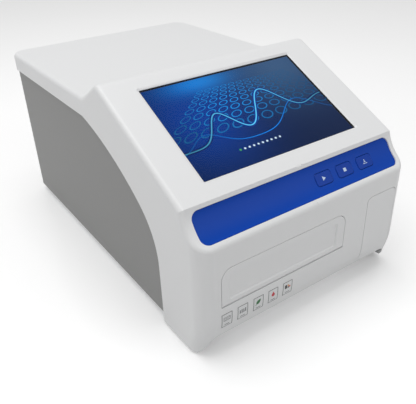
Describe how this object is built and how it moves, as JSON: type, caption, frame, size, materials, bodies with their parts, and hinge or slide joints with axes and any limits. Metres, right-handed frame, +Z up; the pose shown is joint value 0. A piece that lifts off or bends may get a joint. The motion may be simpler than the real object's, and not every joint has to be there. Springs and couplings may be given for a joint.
{
  "type": "microplate reader",
  "caption": "Benchtop microplate reader with a sloped touch screen, a blue key band, a drop-down plate door with a sliding carriage, and a cuvette flap.",
  "frame": {"origin": "middle of the footprint, on the surface that the feet stand on", "axes": "+Z up, +X to the right seen from the front, the front faces -Y"},
  "size_m": [0.305, 0.5024, 0.2597],
  "materials": {
    "white_abs": "fine satin moulded ABS",
    "grey_paint": "fine textured grey powder coat on sheet steel",
    "zinc_sheet": "bright zinc-plated sheet",
    "blue_plastic": "glossy blue moulded panel",
    "screen_glass": "black-bordered touch glass",
    "lcd": "display panel",
    "aluminium": "machined and clear anodised",
    "black_anodised": "black anodised aluminium",
    "steel": "ground steel",
    "black_plastic": "moulded black plastic",
    "rubber": "black rubber",
    "foam": "black cellular foam",
    "circuit_board": "green solder mask",
    "lens_glass": "polished optical glass",
    "brass": "bright brass",
    "bronze": "sintered bronze",
    "cable_grey": "grey cable jacket"
  },
  "bodies": {
    "casing": {"hood": "white_abs", "front_cover": "white_abs", "wrap_casing": "grey_paint", "base_pan": "zinc_sheet", "rubber_feet": "rubber", "foot_screws": "steel", "casing_screws": "steel", "door_seal": "foam", "cuvette_liner": "black_plastic", "cuvette_holder": "black_anodised", "cuvette_clip": "steel", "deck_plate": "aluminium", "deck_standoffs": "aluminium", "guide_shafts": "steel", "shaft_supports": "aluminium", "drive_belt": "rubber", "tray_motor": "black_anodised", "idler_pin": "steel", "home_sensor": "black_plastic", "optics_bridge": "black_anodised", "lens_row": "lens_glass", "fibre_manifold": "black_anodised", "fibre_bundle": "cable_grey", "detector_bar": "black_anodised", "photodiodes": "lens_glass", "detector_posts": "aluminium", "monochromator_housing": "black_anodised", "monochromator_lid": "aluminium", "lamp_housing": "aluminium", "fan_frame": "black_plastic", "power_supply": "aluminium", "main_board": "circuit_board", "board_posts": "brass", "board_components": "black_plastic", "data_sockets": "steel", "power_inlet": "black_plastic", "inlet_blades": "brass", "switch_frame": "black_plastic", "touch_glass": "screen_glass", "lcd_panel": "lcd", "display_frame": "steel", "display_board": "circuit_board", "display_cable": "cable_grey", "blue_band": "blue_plastic", "key_board": "circuit_board"},
    "plate_carriage": {"plate_tray": "black_plastic", "bushing_housings": "aluminium", "tray_bushings": "bronze", "plate_clip": "steel", "belt_clamp": "black_plastic"},
    "plate_door": {"plate_door": "white_abs"},
    "cuvette_door": {"cuvette_door": "white_abs"},
    "drive_pulley": {"drive_pulley": "aluminium", "motor_shaft": "steel"},
    "idler_pulley": {"idler_pulley": "aluminium"},
    "start_key": {"start_key": "blue_plastic"},
    "stop_key": {"stop_key": "blue_plastic"},
    "plate_key": {"plate_key": "blue_plastic"},
    "power_rocker": {"power_rocker": "black_plastic"},
    "fan_rotor": {"fan_rotor": "black_plastic"}
  },
  "joints": [
    {"name": "plate_carriage_slide", "type": "slide", "parent": "casing", "child": "plate_carriage", "axis": [0, -1, 0], "range_m": [0, 0.215]},
    {"name": "plate_door_hinge", "type": "hinge", "parent": "casing", "child": "plate_door", "pos_m": [-0.0383, -0.249, 0.0698], "axis": [1, 0, 0], "range_deg": [0, 105]},
    {"name": "drive_pulley_spin", "type": "hinge", "parent": "casing", "child": "drive_pulley", "pos_m": [0.0475, 0.05, 0.069], "axis": [0, 0, 1], "range_deg": [0, 1936]},
    {"name": "idler_pulley_spin", "type": "hinge", "parent": "casing", "child": "idler_pulley", "pos_m": [0.0475, -0.225, 0.069], "axis": [0, 0, 1], "range_deg": [0, 1936]},
    {"name": "cuvette_door_hinge", "type": "hinge", "parent": "casing", "child": "cuvette_door", "pos_m": [0.1118, -0.243, 0.033], "axis": [1, 0, 0], "range_deg": [0, 90]},
    {"name": "start_key_press", "type": "slide", "parent": "casing", "child": "start_key", "axis": [0, 0.7646, -0.6445], "range_m": [0, 0.001], "stiffness_N_per_m": 500},
    {"name": "stop_key_press", "type": "slide", "parent": "casing", "child": "stop_key", "axis": [0, 0.7646, -0.6445], "range_m": [0, 0.001], "stiffness_N_per_m": 500},
    {"name": "plate_key_press", "type": "slide", "parent": "casing", "child": "plate_key", "axis": [0, 0.7646, -0.6445], "range_m": [0, 0.001], "stiffness_N_per_m": 500},
    {"name": "power_rocker_tilt", "type": "hinge", "parent": "casing", "child": "power_rocker", "pos_m": [-0.07, 0.2474, 0.09], "axis": [1, 0, 0], "range_deg": [0, 20]},
    {"name": "fan_spin", "type": "hinge", "parent": "casing", "child": "fan_rotor", "pos_m": [0.105, 0.2342, 0.057], "axis": [0, 1, 0], "continuous": true}
  ],
  "couplings": [
    {"joint": "plate_door_hinge", "follows": "plate_carriage_slide", "rad_per_m": 8.52},
    {"joint": "drive_pulley_spin", "follows": "plate_carriage_slide", "rad_per_m": 157.08},
    {"joint": "idler_pulley_spin", "follows": "plate_carriage_slide", "rad_per_m": 157.08}
  ]
}
